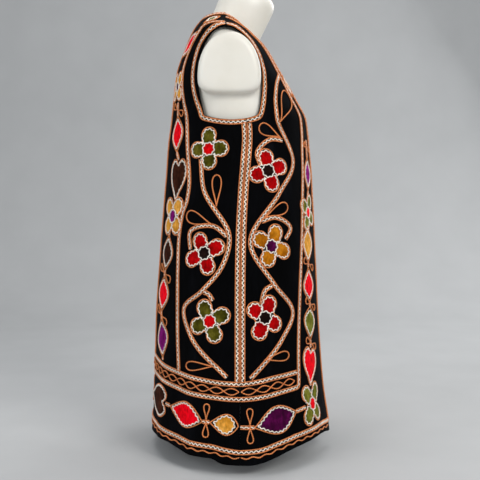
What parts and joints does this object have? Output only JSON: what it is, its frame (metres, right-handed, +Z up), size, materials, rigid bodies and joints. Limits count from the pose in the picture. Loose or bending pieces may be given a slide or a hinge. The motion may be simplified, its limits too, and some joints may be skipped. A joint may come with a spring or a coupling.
{
  "type": "embroidered vest on a limbless dress form with stand",
  "caption": "Knee-length A-line open-front black velvet vest with couched cord, braid and appliqué flowers, standing on a limbless white dress form with a round base.",
  "frame": {"origin": "centre of the stand base's flat underside, on the floor", "axes": "+Z up, -Y the way the vest's front faces, -X the wearer's right side"},
  "size_m": [0.5042, 0.3628, 0.9275],
  "materials": {
    "velvet": "black pile velvet, soft bluish sheen",
    "cord_copper": "twisted copper-brown cord, couched",
    "braid_cream": "cream zigzag braid",
    "felt_red": "red velvet applique",
    "felt_olive": "olive velvet applique",
    "felt_mustard": "mustard velvet applique",
    "felt_purple": "purple velvet applique",
    "felt_brown": "dark brown velvet applique",
    "lining_black": "plain woven back of the cloth, satin",
    "form_white": "smooth cream-white shell, semi-gloss",
    "stand_steel": "brushed steel"
  },
  "bodies": {
    "root": {"front_right": "velvet", "front_left": "velvet", "back_panel": "velvet", "band_edge_right": "cord_copper", "band_edge_left": "cord_copper", "band_front_column_right": "cord_copper", "band_front_column_left": "cord_copper", "band_front_armhole_right": "cord_copper", "band_front_armhole_left": "cord_copper", "band_front_side_right": "cord_copper", "band_front_side_left": "cord_copper", "band_front_upper_right": "cord_copper", "band_front_upper_left": "cord_copper", "band_front_lower_right": "cord_copper", "band_front_lower_left": "cord_copper", "band_front_hem_right": "cord_copper", "band_front_hem_left": "cord_copper", "band_back_column_outer_right": "cord_copper", "band_back_column_outer_left": "cord_copper", "band_back_column_inner_right": "cord_copper", "band_back_column_inner_left": "cord_copper", "band_back_armhole_right": "cord_copper", "band_back_armhole_left": "cord_copper", "band_back_side_right": "cord_copper", "band_back_side_left": "cord_copper", "band_back_upper": "cord_copper", "band_back_lower": "cord_copper", "band_back_hem": "cord_copper", "band_back_neck": "cord_copper", "flower_back_top_right": "felt_olive", "flower_back_top_left": "felt_olive", "flower_back_mid_right": "felt_red", "flower_back_mid_left": "felt_red", "flower_back_low_right": "felt_olive", "flower_back_low_left": "felt_olive", "flower_front_top_right": "felt_red", "flower_front_top_left": "felt_red", "flower_front_mid_right": "felt_mustard", "flower_front_mid_left": "felt_mustard", "flower_front_low_right": "felt_red", "flower_front_low_left": "felt_red", "flower_corner_right": "felt_olive", "flower_corner_left": "felt_olive", "form_torso": "form_white", "form_socket": "stand_steel", "stand_pole": "stand_steel", "stand_base": "stand_steel"}
  },
  "joints": []
}
